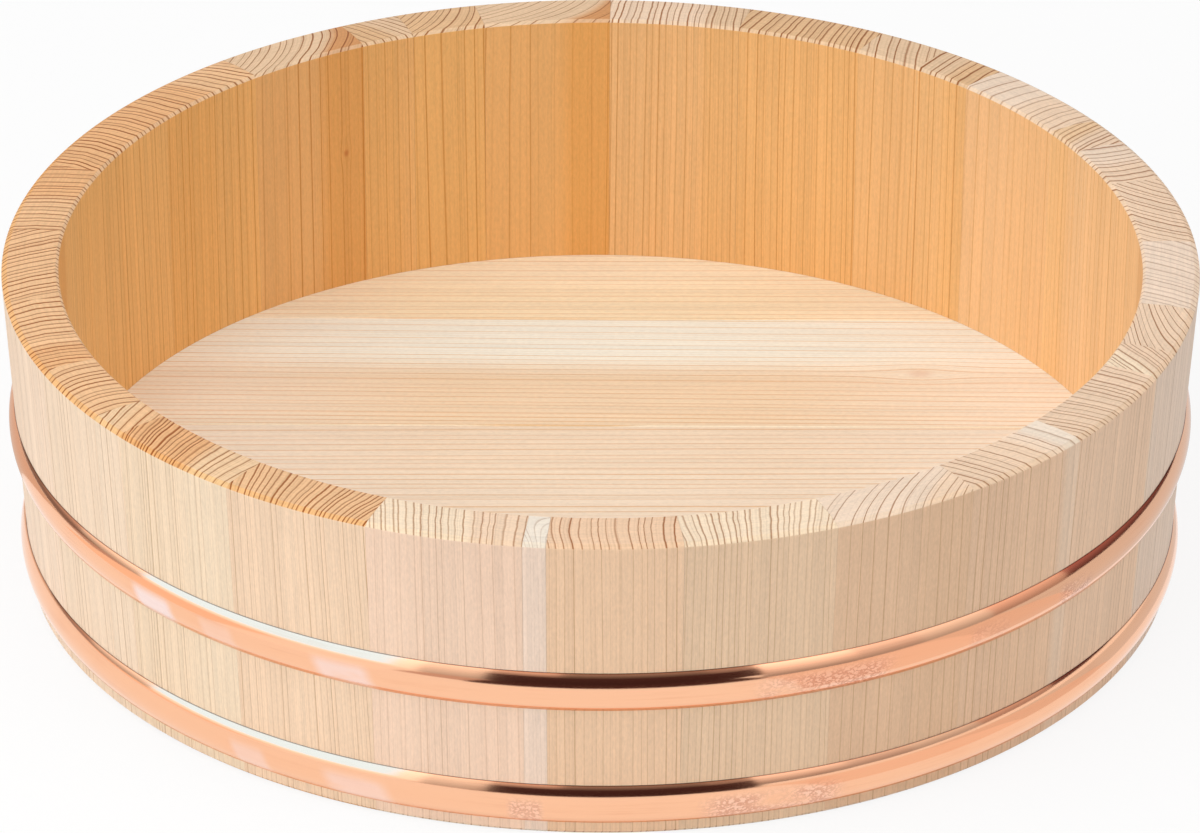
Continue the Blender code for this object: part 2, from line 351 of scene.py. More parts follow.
def add_object(name, mesh, place=Matrix.Identity(4)):
    obj = bpy.data.objects.new(name, mesh)
    bpy.context.scene.collection.objects.link(obj)
    obj.matrix_world = place
    return obj


def cut(obj, others, operation):
    """Cuts obj by other objects for good."""
    for other in others:
        modifier = obj.modifiers.new(other.name, "BOOLEAN")
        modifier.object = other
        modifier.operation = operation
        modifier.solver = "EXACT"
    depsgraph = bpy.context.evaluated_depsgraph_get()
    mesh = bpy.data.meshes.new_from_object(obj.evaluated_get(depsgraph))
    obj.modifiers.clear()
    old = obj.data
    obj.data = mesh
    bpy.data.meshes.remove(old)
    mesh.name = obj.name


def remove(objects):
    for obj in objects:
        bpy.data.objects.remove(obj)


class Value:
    """A number, vector or colour in a node tree. Arithmetic with it adds nodes."""

    def __init__(self, graph, socket):
        self.graph = graph
        self.socket = socket

    def __add__(self, other):
        return self.graph.math("ADD", self, other)

    def __sub__(self, other):
        return self.graph.math("SUBTRACT", self, other)

    def __rsub__(self, other):
        return self.graph.math("SUBTRACT", other, self)

    def __mul__(self, other):
        return self.graph.math("MULTIPLY", self, other)

    def __truediv__(self, other):
        return self.graph.math("DIVIDE", self, other)

    def __abs__(self):
        return self.graph.math("ABSOLUTE", self)


# A fine pattern: its waves in a mm along each axis, how far it moves what it acts on, and its detail
Grain = namedtuple("Grain", "scale amount detail roughness", defaults=(2.0, 0.5))

# Numbers of the colour sockets of a mix node
MIX_FIRST = 6
MIX_SECOND = 7
MIX_RESULT = 2


class Graph:
    """Adds nodes to a node tree and feeds them with values, sockets or plain numbers."""

    def __init__(self, tree):
        self.tree = tree

    def feed(self, node, inputs):
        for name, value in inputs.items():
            value = getattr(value, "socket", value)
            if isinstance(value, bpy.types.NodeSocket):
                self.tree.links.new(value, node.inputs[name])
            else:
                node.inputs[name].default_value = value

    def node(self, kind, inputs=None, **settings):
        made = self.tree.nodes.new(kind)
        for name, value in settings.items():
            setattr(made, name, value)
        self.feed(made, inputs or {})
        return made

    def math(self, operation, *values):
        made = self.node("ShaderNodeMath", dict(enumerate(values)), operation=operation)
        return Value(self, made.outputs[0])

    def vector(self, operation, first, second):
        second_input = "Scale" if operation == "SCALE" else 1
        made = self.node("ShaderNodeVectorMath", {0: first, second_input: second}, operation=operation)
        return Value(self, made.outputs[0])

    def parts(self, vector):
        made = self.node("ShaderNodeSeparateXYZ", {0: vector})
        return [Value(self, socket) for socket in made.outputs]

    def coordinates(self, kind):
        return Value(self, self.node("ShaderNodeTexCoord").outputs[kind])

    def place(self):
        """A point in its piece's own coordinates, in mm."""
        return self.vector("SCALE", self.coordinates("Object"), 1 / MM)

    def noise(self, place, grain):
        """Noise from -1 to 1 or so."""
        made = self.node("ShaderNodeTexNoise", {
            "Vector": self.vector("MULTIPLY", place, grain.scale),
            "Scale": 1,
            "Detail": grain.detail,
            "Roughness": grain.roughness,
        })
        return self.math("MULTIPLY_ADD", made.outputs[0], 2.0, -1.0)

    def wave(self, value):
        """Noise along one number."""
        made = self.node("ShaderNodeTexNoise", {"W": value, "Scale": 1, "Detail": 1}, noise_dimensions="1D")
        return self.math("MULTIPLY_ADD", made.outputs[0], 2.0, -1.0)

    def chance(self, value):
        """A random number from 0 to 1 for each whole number."""
        made = self.node("ShaderNodeTexWhiteNoise", {"W": value}, noise_dimensions="1D")
        return Value(self, made.outputs["Value"])

    def step(self, low, high, value):
        """0 below low, 1 above high, smooth between."""
        made = self.node("ShaderNodeMapRange", interpolation_type="SMOOTHSTEP")
        self.feed(made, {"Value": value, "From Min": low, "From Max": high})
        return Value(self, made.outputs[0])

    def mix(self, share, first, second, blend="MIX"):
        made = self.node("ShaderNodeMix", data_type="RGBA", blend_type=blend)
        self.feed(made, {0: share, MIX_FIRST: first, MIX_SECOND: second})
        return Value(self, made.outputs[MIX_RESULT])

    def cover(self, tone, layers):
        """A tone under layers of others, each (share, tone)."""
        for share, layer in layers:
            tone = self.mix(share, tone, layer)
        return tone

    def bump(self, height, strength, depth):
        """Fine relief; depth is in mm."""
        made = self.node("ShaderNodeBump", {"Height": height, "Strength": strength, "Distance": depth * MM})
        return made.outputs["Normal"]


def between(share, low, high):
    return share * (high - low) + low


KNOT_INPUTS = ["Knot across", "Knot along", "Knot size", "Knot strength"]
WOOD_INPUTS = {
    "NodeSocketVector": ["Offset"],
    # The outside and inside tints carry painted light and shade as well as the wood's tone
    "NodeSocketColor": ["Near tone", "Far tone", "Outside tint and light", "Inside tint and shade", "Side line"],
    "NodeSocketFloat": [
        "Is stave", "Depth origin", "Rings", "Ring change", "Lean", "Lean change", "Bow", "Drift",
        "Deep drift", "Taper", "Turn", "Softness", "Contrast", "Line width", "Faintest line", "Chamfer",
        "Sapwood from", *KNOT_INPUTS,
    ],
}
WOOD_OUTPUTS = {"Colour": "NodeSocketColor", "Roughness": "NodeSocketFloat", "Height": "NodeSocketFloat"}

# Growth rings: how they wander, in mm, how uneven and grouped they are, and how their tone varies
RING_WANDER = Grain((0.05, 0.05, 0.005), 0.9)
RING_SWAY = Grain((0.03, 0.14, 0.006), 0.36)
RING_WOBBLE = Grain((0.55, 0.55, 0.02), 0.10)
RING_UNEVENNESS = 0.4
RING_GROUPING = 0.6
GROUPING_SCALE = 0.23
RING_TONE = 0.035

# Ring lines. Fade, core and edge are where a line starts, is full and ends, in mm from its sharp side. The
# faintest line is a share of the strongest, and below 0 some lines vanish. Fine lines lie between the rest.
LINE_FADE = 0.50
LINE_CORE = 0.20
LINE_EDGE = 0.10
FLANK_LINE_WIDENING = 0.5
BOARD_LINE_WIDTH = 2.0
SIDE_LINE_WIDTH = 0.62
FAINTEST_END_LINE = 0.6
FAINTEST_WALL_LINE = 0.3
FAINTEST_PALE_LINE = -0.15
PALE_WALLS = range(20, 26)
FAINTEST_BOARD_LINE = 0.6
FINE_RINGS = 2.6
FINE_END_LINES = 0.18
FINE_SIDE_LINES = 0.25
OUTSIDE_LINES = 0.66
INSIDE_LINES = 0.70

# Added to the number of a ring, so that it draws a random number for each use
STRENGTH_DRAW = 0.37
TONE_DRAW = 0.11

# Zones of a piece by the way its surface faces: where each starts and where it is full
END_ZONE = (0.30, 0.60)
CHAMFER_ZONE = (0.2, 0.45)
LIP_ZONE = (0.3, 0.6)
FACE_ZONE = (0.78, 0.95)

# Shares of the tones in their zones, and how far tones run into each other, in mm
OUTSIDE_SHARE = 0.88
INSIDE_SHARE = 0.75
# Share of the painted highlight on the board bevels
BEVEL_HIGHLIGHT_SHARE = 0.8
# Share of the painted highlight on the rim's inner edge
LIP_HIGHLIGHT_SHARE = 0.4
# The chamfer tint is partly the wood's own tone and partly painted light, stronger on the left staves toward
# the key lamp
CHAMFER_TINT_AND_LIGHT = (1.06, 0.90, 0.52, 1.0)
LIT_SIDE_CHAMFERS = range(17, 25)
LIT_SIDE_CHAMFER = 0.5
PLAIN_CHAMFER = 0.1
STAVE_SOFTNESS = 3.0
BOARD_SOFTNESS = 9.0
SAPWOOD_SOFTNESS = 2.0
SAPWOOD_SHARE = 0.55
SIDE_SAPWOOD_SHARE = 0.25
# Painted light at the board ends: where it starts and is full along the board, in mm, and its share
BOARD_END_PAINTED_LIGHT_START = 40
BOARD_END_PAINTED_LIGHT_FULL = 160
BOARD_END_PAINTED_LIGHT_SHARE = 0.65
# Painted bounce light from the floor: the foot of the wall's faces is paler by up to this share
PAINTED_FLOOR_BOUNCE = 0.07

# Fine grain, with its effect on the tone
CLOUD = Grain((0.045, 0.045, 0.010), 0.05)
FIBRE = Grain((0.9, 0.9, 0.03), 0.08, 3, 0.6)
SPECK = Grain((1.9, 1.9, 0.6), 0.12)
PORE = Grain((1.2, 1.2, 1.2), 0.12)
SANDING = Grain((0.07, 1.3, 0.5), 0.12)

# A knot in terms of its size: how far it bends the rings, how much, and its shape along the grain
KNOT_REACH = 2.2
KNOT_PUSH = 0.85
KNOT_BEND_SHAPE = 0.16
KNOT_SHAPE = 0.5
KNOT_CORE = 0.2
KNOT_EDGE = 1.5

# Finish, and the ranges of what is random
WOOD_ROUGHNESS = 0.48
FIBRE_ROUGHNESS = 0.08
LINE_GLOSS = 0.06
FIBRE_RELIEF = 0.3
SANDING_RELIEF = 0.2
WOOD_BUMP = 0.35
WOOD_BUMP_DEPTH = 0.08
WOOD_SPECULAR = 0.06
PATTERN_RANGE = 500
DRIFT = 0.012
DEEP_DRIFT = 0.003


def line_set(graph, rings, rings_per_mm, width):
    """A thin line in each ring, 0 to 1, its chance of being strong, and the number of a point's band.

    A line fades in on one side and ends sharply on the other.
    """
    number = graph.math("FLOOR", rings)
    middle = graph.chance(number) * RING_UNEVENNESS + (0.5 - RING_UNEVENNESS / 2)
    past = (graph.math("FRACT", rings) - middle) / (rings_per_mm * width)
    line = graph.step(-LINE_FADE, -LINE_CORE, past) * (1 - graph.step(0.0, LINE_EDGE, past))
    band = number + graph.math("GREATER_THAN", past, 0.0)
    return line, graph.chance(number + STRENGTH_DRAW), band


def ring_lines(graph, inputs, placed, end):
    """Dark lines of the growth rings as end and side grain show them, and the tone of each ring, -1 to 1."""
    change = inputs["Ring change"]
    seed = graph.parts(inputs["Offset"])[0]
    rings = placed * inputs["Rings"] + placed * placed * change + seed
    rings = rings + graph.wave(rings * GROUPING_SCALE) * RING_GROUPING
    rings_per_mm = inputs["Rings"] + change * placed * 2.0
    width = inputs["Line width"] * between(end, SIDE_LINE_WIDTH, 1.0)
    main, luck, band = line_set(graph, rings, rings_per_mm, width)
    fine, fine_luck, _ = line_set(graph, rings * FINE_RINGS, rings_per_mm * FINE_RINGS, width)
    fine = fine * fine_luck
    faintest = inputs["Faintest line"]
    side_main = main * (faintest + luck * (1 - faintest))
    end_main = main * between(luck, FAINTEST_END_LINE, 1.0)
    side_line = graph.math("MAXIMUM", side_main, fine * FINE_SIDE_LINES)
    end_line = graph.math("MAXIMUM", end_main, fine * FINE_END_LINES)
    ring_tone = between(graph.chance(band + TONE_DRAW), -1.0, 1.0)
    return end_line * inputs["Contrast"], side_line * inputs["Contrast"], ring_tone


def knot_marks(graph, inputs, across, along):
    """How far a knot pushes the rings aside at a point, and how much of the knot shows there."""
    size = inputs["Knot size"]
    away_across = across - inputs["Knot across"]
    away_along = along - inputs["Knot along"]
    across_square = away_across * away_across
    along_square = away_along * away_along
    reach = size * KNOT_REACH
    bend = (across_square + along_square * KNOT_BEND_SHAPE) / (reach * reach)
    push = away_across * graph.math("EXPONENT", bend * -1.0) * KNOT_PUSH
    away = graph.math("SQRT", across_square + along_square * KNOT_SHAPE)
    knot = 1 - graph.step(size * KNOT_CORE, size * KNOT_EDGE, away)
    return push, knot * inputs["Knot strength"]


def wood_lines(graph, inputs, place, noise_place, end):
    """Growth rings as a solid pattern: where across the rings a point is, their lines and any knot."""
    across, depth, along = graph.parts(place)
    across = across + along * inputs["Drift"]
    deep = inputs["Depth origin"] - depth + along * inputs["Deep drift"]
    deep = deep / ((along - HEIGHT) * inputs["Taper"] + 1.0)
    lean = inputs["Lean"] + inputs["Lean change"] * across
    placed = across - lean * deep - inputs["Bow"] * deep * deep
    for grain in (RING_WANDER, RING_SWAY, RING_WOBBLE):
        placed = placed + graph.noise(noise_place, grain) * grain.amount
    push, knot = knot_marks(graph, inputs, across, along)
    placed = placed - push
    return placed, ring_lines(graph, inputs, placed, end), knot


Zones = namedtuple("Zones", "end chamfer lip bevel inside outside side")


def wood_zones(graph, inputs):
    """How far a point is in each zone, 0 to 1. Of these, a board has ends and bevels; its top faces Y."""
    is_stave = inputs["Is stave"]
    sideways, inwards, upwards = graph.parts(graph.coordinates("Normal"))
    outwards = inwards * -1.0
    end = graph.step(*END_ZONE, abs(upwards))
    chamfer = graph.step(*CHAMFER_ZONE, outwards) * end * is_stave * inputs["Chamfer"]
    tilted = graph.step(*LIP_ZONE, inwards)
    # Mask of the painted highlight on the rim's inner edge
    lip = tilted * end * is_stave
    # Mask of the painted highlight on the board bevels
    bevel = graph.step(*LIP_ZONE, abs(sideways)) * tilted * (1 - is_stave)
    inside = graph.step(*FACE_ZONE, inwards) * is_stave
    outside = graph.step(*FACE_ZONE, outwards) * is_stave
    return Zones(end, chamfer, lip, bevel, inside, outside, graph.math("MAXIMUM", inside, outside))


def wood_tone(graph, inputs, zones, along, placed):
    """Colour of the wood without its lines: from near to far tone, then each zone's tone, part of it painted
    light and shade.
    """
    turn, softness, sapwood_from = inputs["Turn"], inputs["Softness"], inputs["Sapwood from"]
    turned = graph.step(turn - softness, turn + softness, placed)
    sapwood = graph.step(sapwood_from - SAPWOOD_SOFTNESS, sapwood_from + SAPWOOD_SOFTNESS, placed)
    # Painted light towards the ends of the boards
    board_end_light = graph.step(BOARD_END_PAINTED_LIGHT_START, BOARD_END_PAINTED_LIGHT_FULL, abs(along)) * (1 - inputs["Is stave"])
    tone = graph.cover(inputs["Near tone"], [
        (turned, inputs["Far tone"]),
        # The face tints carry painted light and shade as well as the wood's own tone
        (zones.outside * OUTSIDE_SHARE, inputs["Outside tint and light"]),
        (zones.inside * INSIDE_SHARE, inputs["Inside tint and shade"]),
        (sapwood * between(zones.side, SAPWOOD_SHARE, SIDE_SAPWOOD_SHARE), TONES["sapwood"]),
        # Painted light at the board ends
        (board_end_light * BOARD_END_PAINTED_LIGHT_SHARE, BOARD_END_PAINTED_LIGHT),
        # Painted highlight on the board bevels
        (zones.bevel * BEVEL_HIGHLIGHT_SHARE, BEVEL_PAINTED_HIGHLIGHT),
        # Painted highlight on the rim's inner edge
        (zones.lip * LIP_HIGHLIGHT_SHARE, LIP_PAINTED_HIGHLIGHT),
    ])
    # Chamfer tint: partly painted light, strongest on the left staves
    return graph.mix(zones.chamfer, tone, CHAMFER_TINT_AND_LIGHT, "MULTIPLY")


def wood_level(graph, zones, noise_place, along, fibre, sanding, ring_tone):
    """Small changes of brightness round 1: the fine grain, the tone of each ring, and painted bounce light
    that makes the foot paler.
    """
    cloud, speck, pore = [graph.noise(noise_place, grain) * grain.amount for grain in (CLOUD, SPECK, PORE)]
    side_level = fibre * FIBRE.amount + 1.0 + speck
    end_level = pore + 1.0 + sanding * SANDING.amount
    level = side_level * (1 - zones.end) + end_level * zones.end
    # Painted bounce light, strongest at the foot of the wall
    painted_floor_bounce = (1 - along / HEIGHT) * zones.side * PAINTED_FLOOR_BOUNCE
    return level + cloud + ring_tone * RING_TONE + painted_floor_bounce


def make_wood_group():
    """The node group that every strip and board shares; only its inputs differ."""
    tree = bpy.data.node_groups.new("cypress", "ShaderNodeTree")
    for kind, names in WOOD_INPUTS.items():
        for name in names:
            tree.interface.new_socket(name, in_out="INPUT", socket_type=kind)
    for name, kind in WOOD_OUTPUTS.items():
        tree.interface.new_socket(name, in_out="OUTPUT", socket_type=kind)
    graph = Graph(tree)
    inputs = {socket.name: Value(graph, socket) for socket in graph.node("NodeGroupInput").outputs}
    place = graph.place()
    along = graph.parts(place)[2]
    noise_place = graph.vector("ADD", place, inputs["Offset"])
    zones = wood_zones(graph, inputs)
    end = zones.end
    placed, (end_line, side_line, ring_tone), knot = wood_lines(graph, inputs, place, noise_place, end)
    fibre = graph.noise(noise_place, FIBRE)
    sanding = graph.noise(noise_place, SANDING)

    tone = wood_tone(graph, inputs, zones, along, placed)
    level = wood_level(graph, zones, noise_place, along, fibre, sanding, ring_tone)
    shown = graph.vector("SCALE", tone, level)
    side_line = side_line * between(zones.outside, INSIDE_LINES, OUTSIDE_LINES)
    line = end_line * end + side_line * (1 - end)
    line_hue = graph.cover(inputs["Side line"], [(zones.outside, OUTSIDE_LINE), (end, END_LINE)])
    dark = graph.mix(1.0, shown, line_hue, "MULTIPLY")
    graph.node("NodeGroupOutput", {
        "Colour": graph.cover(shown, [(line, dark), (knot, KNOT)]),
        "Roughness": fibre * FIBRE_ROUGHNESS + WOOD_ROUGHNESS - line * LINE_GLOSS,
        "Height": fibre * FIBRE_RELIEF + sanding * end * SANDING_RELIEF,
    })
    return tree


def new_material(name):
    material = bpy.data.materials.new(name)
    material.use_nodes = True
    shader = material.node_tree.nodes["Principled BSDF"]
    return material, Graph(material.node_tree), shader


def faintest_line(stave):
    """How strong the weakest line on a side face is, for a strip such as 01b, or for a board."""
    if not stave:
        return FAINTEST_BOARD_LINE
    return FAINTEST_PALE_LINE if int(stave[:2]) in PALE_WALLS else FAINTEST_WALL_LINE


def wood_material(name, group, strip, width, line_width, stave, knot, dice):
    """Wood of a strip such as 01b, or of a board, which has no stave."""
    material, graph, shader = new_material(name)
    wood = graph.node("ShaderNodeGroup", node_tree=group)
    near_rings, far_rings = 1 / strip.pitch[0], 1 / strip.pitch[1]
    near_lean, far_lean = strip.lean
    graph.feed(wood, {
        "Is stave": 1.0 if stave else 0.0,
        "Offset": [dice.uniform(0, PATTERN_RANGE) for _ in range(3)],
        "Depth origin": WALL_SLOPE * HEIGHT - WALL_MIDDLE if stave else FLOOR_TOP,
        "Rings": (near_rings + far_rings) / 2,
        "Ring change": (far_rings - near_rings) / (2 * width),
        "Lean": (near_lean + far_lean) / 2,
        "Lean change": (far_lean - near_lean) / width,
        "Bow": strip.bow,
        "Drift": dice.uniform(-DRIFT, DRIFT),
        "Deep drift": dice.uniform(-DEEP_DRIFT, DEEP_DRIFT) - (WALL_SLOPE if stave else 0),
        "Taper": WALL_TAPER if stave else 0.0,
        "Near tone": TONES[strip.near],
        "Far tone": TONES[strip.far],
        "Turn": (strip.turn - 0.5) * width,
        "Softness": STAVE_SOFTNESS if stave else BOARD_SOFTNESS,
        "Contrast": strip.contrast,
        # The face tints paint in part of the wall's light and shade
        "Outside tint and light": OUTSIDE_TINTS_AND_LIGHT.get(stave, OUTSIDE_TINT),
        "Inside tint and shade": INSIDE_TINTS_LIGHT_AND_SHADE.get(stave, INSIDE_TINT_AND_SHADE),
        **dict(zip(KNOT_INPUTS, knot)),
        "Line width": line_width,
        "Side line": INSIDE_LINE if stave else BOARD_LINE,
        "Faintest line": faintest_line(stave),
        # The chamfer tint is partly painted light on the left staves
        "Chamfer": LIT_SIDE_CHAMFER if stave and int(stave[:2]) in LIT_SIDE_CHAMFERS else PLAIN_CHAMFER,
        "Sapwood from": width / 2 - SAPWOOD_WIDTHS.get(stave, -FAR_OUTSIDE),
    })
    graph.feed(shader, {
        "Base Color": wood.outputs["Colour"],
        "Roughness": wood.outputs["Roughness"],
        "Normal": graph.bump(wood.outputs["Height"], WOOD_BUMP, WOOD_BUMP_DEPTH),
        "Specular IOR Level": WOOD_SPECULAR,
    })
    return material


def wrapped(angle):
    """The same angle, from -pi to pi."""
    return (angle + pi) % tau - pi


def stave_edges(number):
    """First and last angle of a CAD stave."""
    points = [vertex.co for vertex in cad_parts[f"stave_{number:02d}"].data.vertices]
    middle = sum(points, Vector())
    centre = atan2(middle.x, -middle.y)
    turned = [wrapped(atan2(point.x, -point.y) - centre) for point in points]
    return centre + min(turned), centre + max(turned)


def stave_joints():
    """Angle of the joint in front of each stave, and of the last joint again at the end."""
    edges = [stave_edges(number) for number in range(1, STAVE_COUNT + 1)]
    joints = []
    for index, (start, _) in enumerate(edges):
        before = edges[index - 1][1]
        joints.append(start - wrapped(start - before) / 2)
    for index in range(1, STAVE_COUNT):
        while joints[index] < joints[index - 1]:
            joints[index] += tau
    joints.append(joints[0] + tau)
    return joints


def stave_section():
    croze_foot = FLOOR_TOP - FLOOR_EDGE_THICKNESS - HAIRLINE
    croze_top = FLOOR_TOP + HAIRLINE
    croze_radius = INNER_FLOOR_RADIUS + CROZE_DEPTH
    return rounded([
        (FOOT_RADIUS - FOOT_CHAMFER, 0, FINE_ROUNDING),
        (outer_radius(FOOT_CHAMFER), FOOT_CHAMFER, FINE_ROUNDING),
        (RIM_RADIUS, HEIGHT - OUTER_RIM_CHAMFER_DROP, EDGE_ROUNDING),
        (RIM_RADIUS - RIM_SLOPE_WIDTH, HEIGHT - RIM_CROWN_DROP, EDGE_ROUNDING),
        (RIM_RADIUS - RIM_CROWN_WIDTH, HEIGHT, 0),
        (MOUTH_RADIUS + INNER_RIM_CHAMFER, HEIGHT, FINE_ROUNDING),
        (MOUTH_RADIUS, HEIGHT - INNER_RIM_CHAMFER, FINE_ROUNDING),
        (inner_radius(croze_top), croze_top, 0),
        (croze_radius, croze_top, 0),
        (croze_radius, croze_foot, 0),
        (inner_radius(croze_foot), croze_foot, 0),
        (inner_radius(FOOT_CHAMFER), FOOT_CHAMFER, FINE_ROUNDING),
        (inner_radius(0) + FOOT_CHAMFER, 0, FINE_ROUNDING),
    ])


def strip_mesh(name, width_angle):
    """A strip of the wall with its middle at the front, swept round the tub's axis."""
    facets = max(2, ceil(width_angle / radians(DEGREES_PER_FACET)))
    section = stave_section()
    bm = bmesh.new()
    rows = []
    for step in range(facets + 1):
        angle = width_angle * (step / facets - 0.5)
        rows.append([bm.verts.new(on_circle(radius, angle, height)) for radius, height in section])
    for first, second in zip(rows, rows[1:]):
        bridge(bm, first, second)
    bm.faces.new(rows[0])
    bm.faces.new(rows[-1])
    return finish_mesh(bm, name)


def pin_hole(angle):
    bm = bmesh.new()
    bmesh.ops.create_cone(
        bm, cap_ends=True, segments=PIN_HOLE_SIDES, depth=PIN_HOLE_LENGTH,
        radius1=PIN_HOLE_RADIUS, radius2=PIN_HOLE_RADIUS)
    radius = (outer_radius(PIN_HEIGHT) + inner_radius(PIN_HEIGHT)) / 2
    place = Matrix.Translation(on_circle(radius, angle, PIN_HEIGHT) * MM)
    turn = Matrix.Rotation(angle, 4, "Z") @ Matrix.Rotation(pi / 2, 4, "Y")
    return add_object("pin_hole", finish_mesh(bm, "pin_hole"), place @ turn)


def set_material(mesh, material):
    mesh.materials.clear()
    mesh.materials.append(material)


def finish_piece(piece, material, slot, *nodes):
    set_material(piece.data, material)
    shade(piece.data)
    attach(piece, "root")
    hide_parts(*nodes)


def make_strip(stave, letter, strip, start, end, holes, group, dice):
    name = f"cypress_{stave}{letter}"
    middle = (start + end) / 2
    mesh = strip_mesh(name, end - start - HAIRLINE / MOUTH_RADIUS)
    piece = add_object(name, mesh, Matrix.Rotation(middle, 4, "Z"))
    cut(piece, holes, "DIFFERENCE")
    width = (end - start) * WALL_MIDDLE
    line_width = 1 + FLANK_LINE_WIDENING * abs(sin(middle))
    knot = STAVE_KNOTS.get(int(stave), NO_KNOT)
    material = wood_material(name, group, strip, width, line_width, stave + letter, knot, dice)
    finish_piece(piece, material, "stave_wood", f"stave_{stave}")


def make_staves(group, dice):
    joints = stave_joints()
    holes = [pin_hole(angle) for angle in joints[:-1]]
    reach = (PIN_HOLE_LENGTH / 2 + PIN_HOLE_MARGIN) / MOUTH_RADIUS
    for number, strips in STAVES.items():
        start, end = joints[number - 1], joints[number]
        at = start
        for letter, strip in zip("ab", strips):
            far = at + strip.share * (end - start)
            near_holes = []
            if at - start < reach:
                near_holes.append(holes[number - 1])
            if end - far < reach:
                near_holes.append(holes[number % STAVE_COUNT])
            make_strip(f"{number:02d}", letter, strip, at, far, near_holes, group, dice)
            at = far
    remove(holes)


def board_section(back, front, has_groove, has_tongue):
    """Outline of a board across its length, (y, z), with its groove at the back edge."""
    underside = FLOOR_TOP - FLOOR_THICKNESS - BLANK_ALLOWANCE
    tongue_middle = FLOOR_TOP - FLOOR_EDGE_THICKNESS / 2
    tongue_top = tongue_middle + TONGUE_THICKNESS / 2
    tongue_foot = tongue_middle - TONGUE_THICKNESS / 2
    back_edge = back - HAIRLINE
    front_edge = front + HAIRLINE
    bevel = BOARD_EDGE_BEVEL
    section = [(back_edge, FLOOR_TOP - bevel), (back_edge - bevel, FLOOR_TOP)]
    section += [(front_edge + bevel, FLOOR_TOP), (front_edge, FLOOR_TOP - bevel)]
    if has_tongue:
        tip = front - TONGUE_LENGTH
        section += [(front_edge, tongue_top), (tip, tongue_top)]
        section += [(tip, tongue_foot), (front_edge, tongue_foot)]
    section += [(front_edge, underside), (back_edge, underside)]
    if has_groove:
        groove_end = back - TONGUE_LENGTH - HAIRLINE
        section += [(back_edge, tongue_foot - HAIRLINE), (groove_end, tongue_foot - HAIRLINE)]
        section += [(groove_end, tongue_top + HAIRLINE), (back_edge, tongue_top + HAIRLINE)]
    return section


def board_mesh(name, section, middle):
    """A board in its own frame: X across it, Y up and Z along the grain."""
    bm = bmesh.new()
    ends = []
    for along in (-RIM_RADIUS, RIM_RADIUS):
        ends.append([bm.verts.new((y - middle, z, along)) for y, z in section])
        bm.faces.new(ends[-1])
    bridge(bm, *ends)
    return finish_mesh(bm, name)


def floor_disc():
    radius = INNER_FLOOR_RADIUS + CROZE_DEPTH - HAIRLINE
    edge_foot = FLOOR_TOP - FLOOR_EDGE_THICKNESS
    taper_radius = inner_radius(edge_foot) - HAIRLINE
    profile = [
        (radius, FLOOR_TOP + BLANK_ALLOWANCE),
        (radius, edge_foot),
        (taper_radius, edge_foot),
        (taper_radius - FLOOR_EDGE_TAPER, FLOOR_TOP - FLOOR_THICKNESS),
    ]
    bm = bmesh.new()
    rings = []
    for ring_radius, height in profile:
        angles = [tau * step / DISC_STEPS for step in range(DISC_STEPS)]
        rings.append([bm.verts.new(on_circle(ring_radius, angle, height)) for angle in angles])
    for upper, lower in zip(rings, rings[1:]):
        bridge(bm, upper, lower)
    bm.faces.new(rings[0])
    bm.faces.new(rings[-1])
    return add_object("floor_disc", finish_mesh(bm, "floor_disc"))


def make_floor(group, dice):
    disc = floor_disc()
    seams = [RIM_RADIUS]
    seams += [FIRST_SEAM_Y - BOARD_WIDTH * index for index in range(BOARD_COUNT - 1)]
    seams.append(-RIM_RADIUS)
    along_grain = Matrix(((0, 0, 1, 0), (1, 0, 0, 0), (0, 1, 0, 0), (0, 0, 0, 1)))
    for index, strip in enumerate(BOARDS):
        back, front = seams[index], seams[index + 1]
        middle = (back + front) / 2
        name = f"plank_{index + 1}"
        section = board_section(back, front, index > 0, index < BOARD_COUNT - 1)
        place = Matrix.Translation((0, middle * MM, 0)) @ along_grain
        piece = add_object(name, board_mesh(name, section, middle), place)
        cut(piece, [disc], "INTERSECT")
        knot = BOARD_KNOTS.get(index + 1, NO_KNOT)
        material = wood_material(name, group, strip, back - front, BOARD_LINE_WIDTH, None, knot, dice)
        finish_piece(piece, material, "floor_wood", f"floor_board_{index + 1}")
    remove([disc])


def hoop_section(foot, top):
    """Closed outline of a half-round strip on the sloping wall, down the outside and up the inside."""
    half_width = (top - foot) / 2
    middle = (top + foot) / 2
    arc_radius = (half_width**2 + HOOP_RISE**2) / (2 * HOOP_RISE)
    sunk = arc_radius - HOOP_RISE
    inside_radius = arc_radius - HOOP_SHEET
    outer_reach = asin(half_width / arc_radius)
    inner_reach = acos(sunk / inside_radius)

    def on_wall(radius, turn):
        along = radius * sin(turn)
        away = radius * cos(turn) - sunk
        return (outer_radius(middle + along) + HAIRLINE + away, middle + along - OUTER_SLOPE * away)

    def arc(radius, reach, count):
        return [on_wall(radius, reach * (1 - 2 * index / (count - 1))) for index in range(count)]

    outside = arc(arc_radius, outer_reach, HOOP_OUTER_POINTS)
    return outside + arc(inside_radius, -inner_reach, HOOP_INNER_POINTS)


def hoop_mesh(name, foot, top, dice):
    """The hoop's ring, a little uneven, as copper strip is once it is driven on."""
    waves = [(count, dice.uniform(0, tau), dice.uniform(FAINTEST_WAVE, 1)) for count in HOOP_WAVE_COUNTS]
    section = hoop_section(foot, top)
    bm = bmesh.new()
    rings = []
    for step in range(HOOP_STEPS):
        angle = tau * step / HOOP_STEPS
        lift = sum(size * (1 + sin(count * angle + phase)) for count, phase, size in waves)
        lift *= HOOP_WAVE / (2 * len(waves))
        rings.append([bm.verts.new(on_circle(r + lift, angle, z)) for r, z in section])
    for index, ring in enumerate(rings):
        bridge(bm, rings[index - 1], ring)
    return finish_mesh(bm, name)


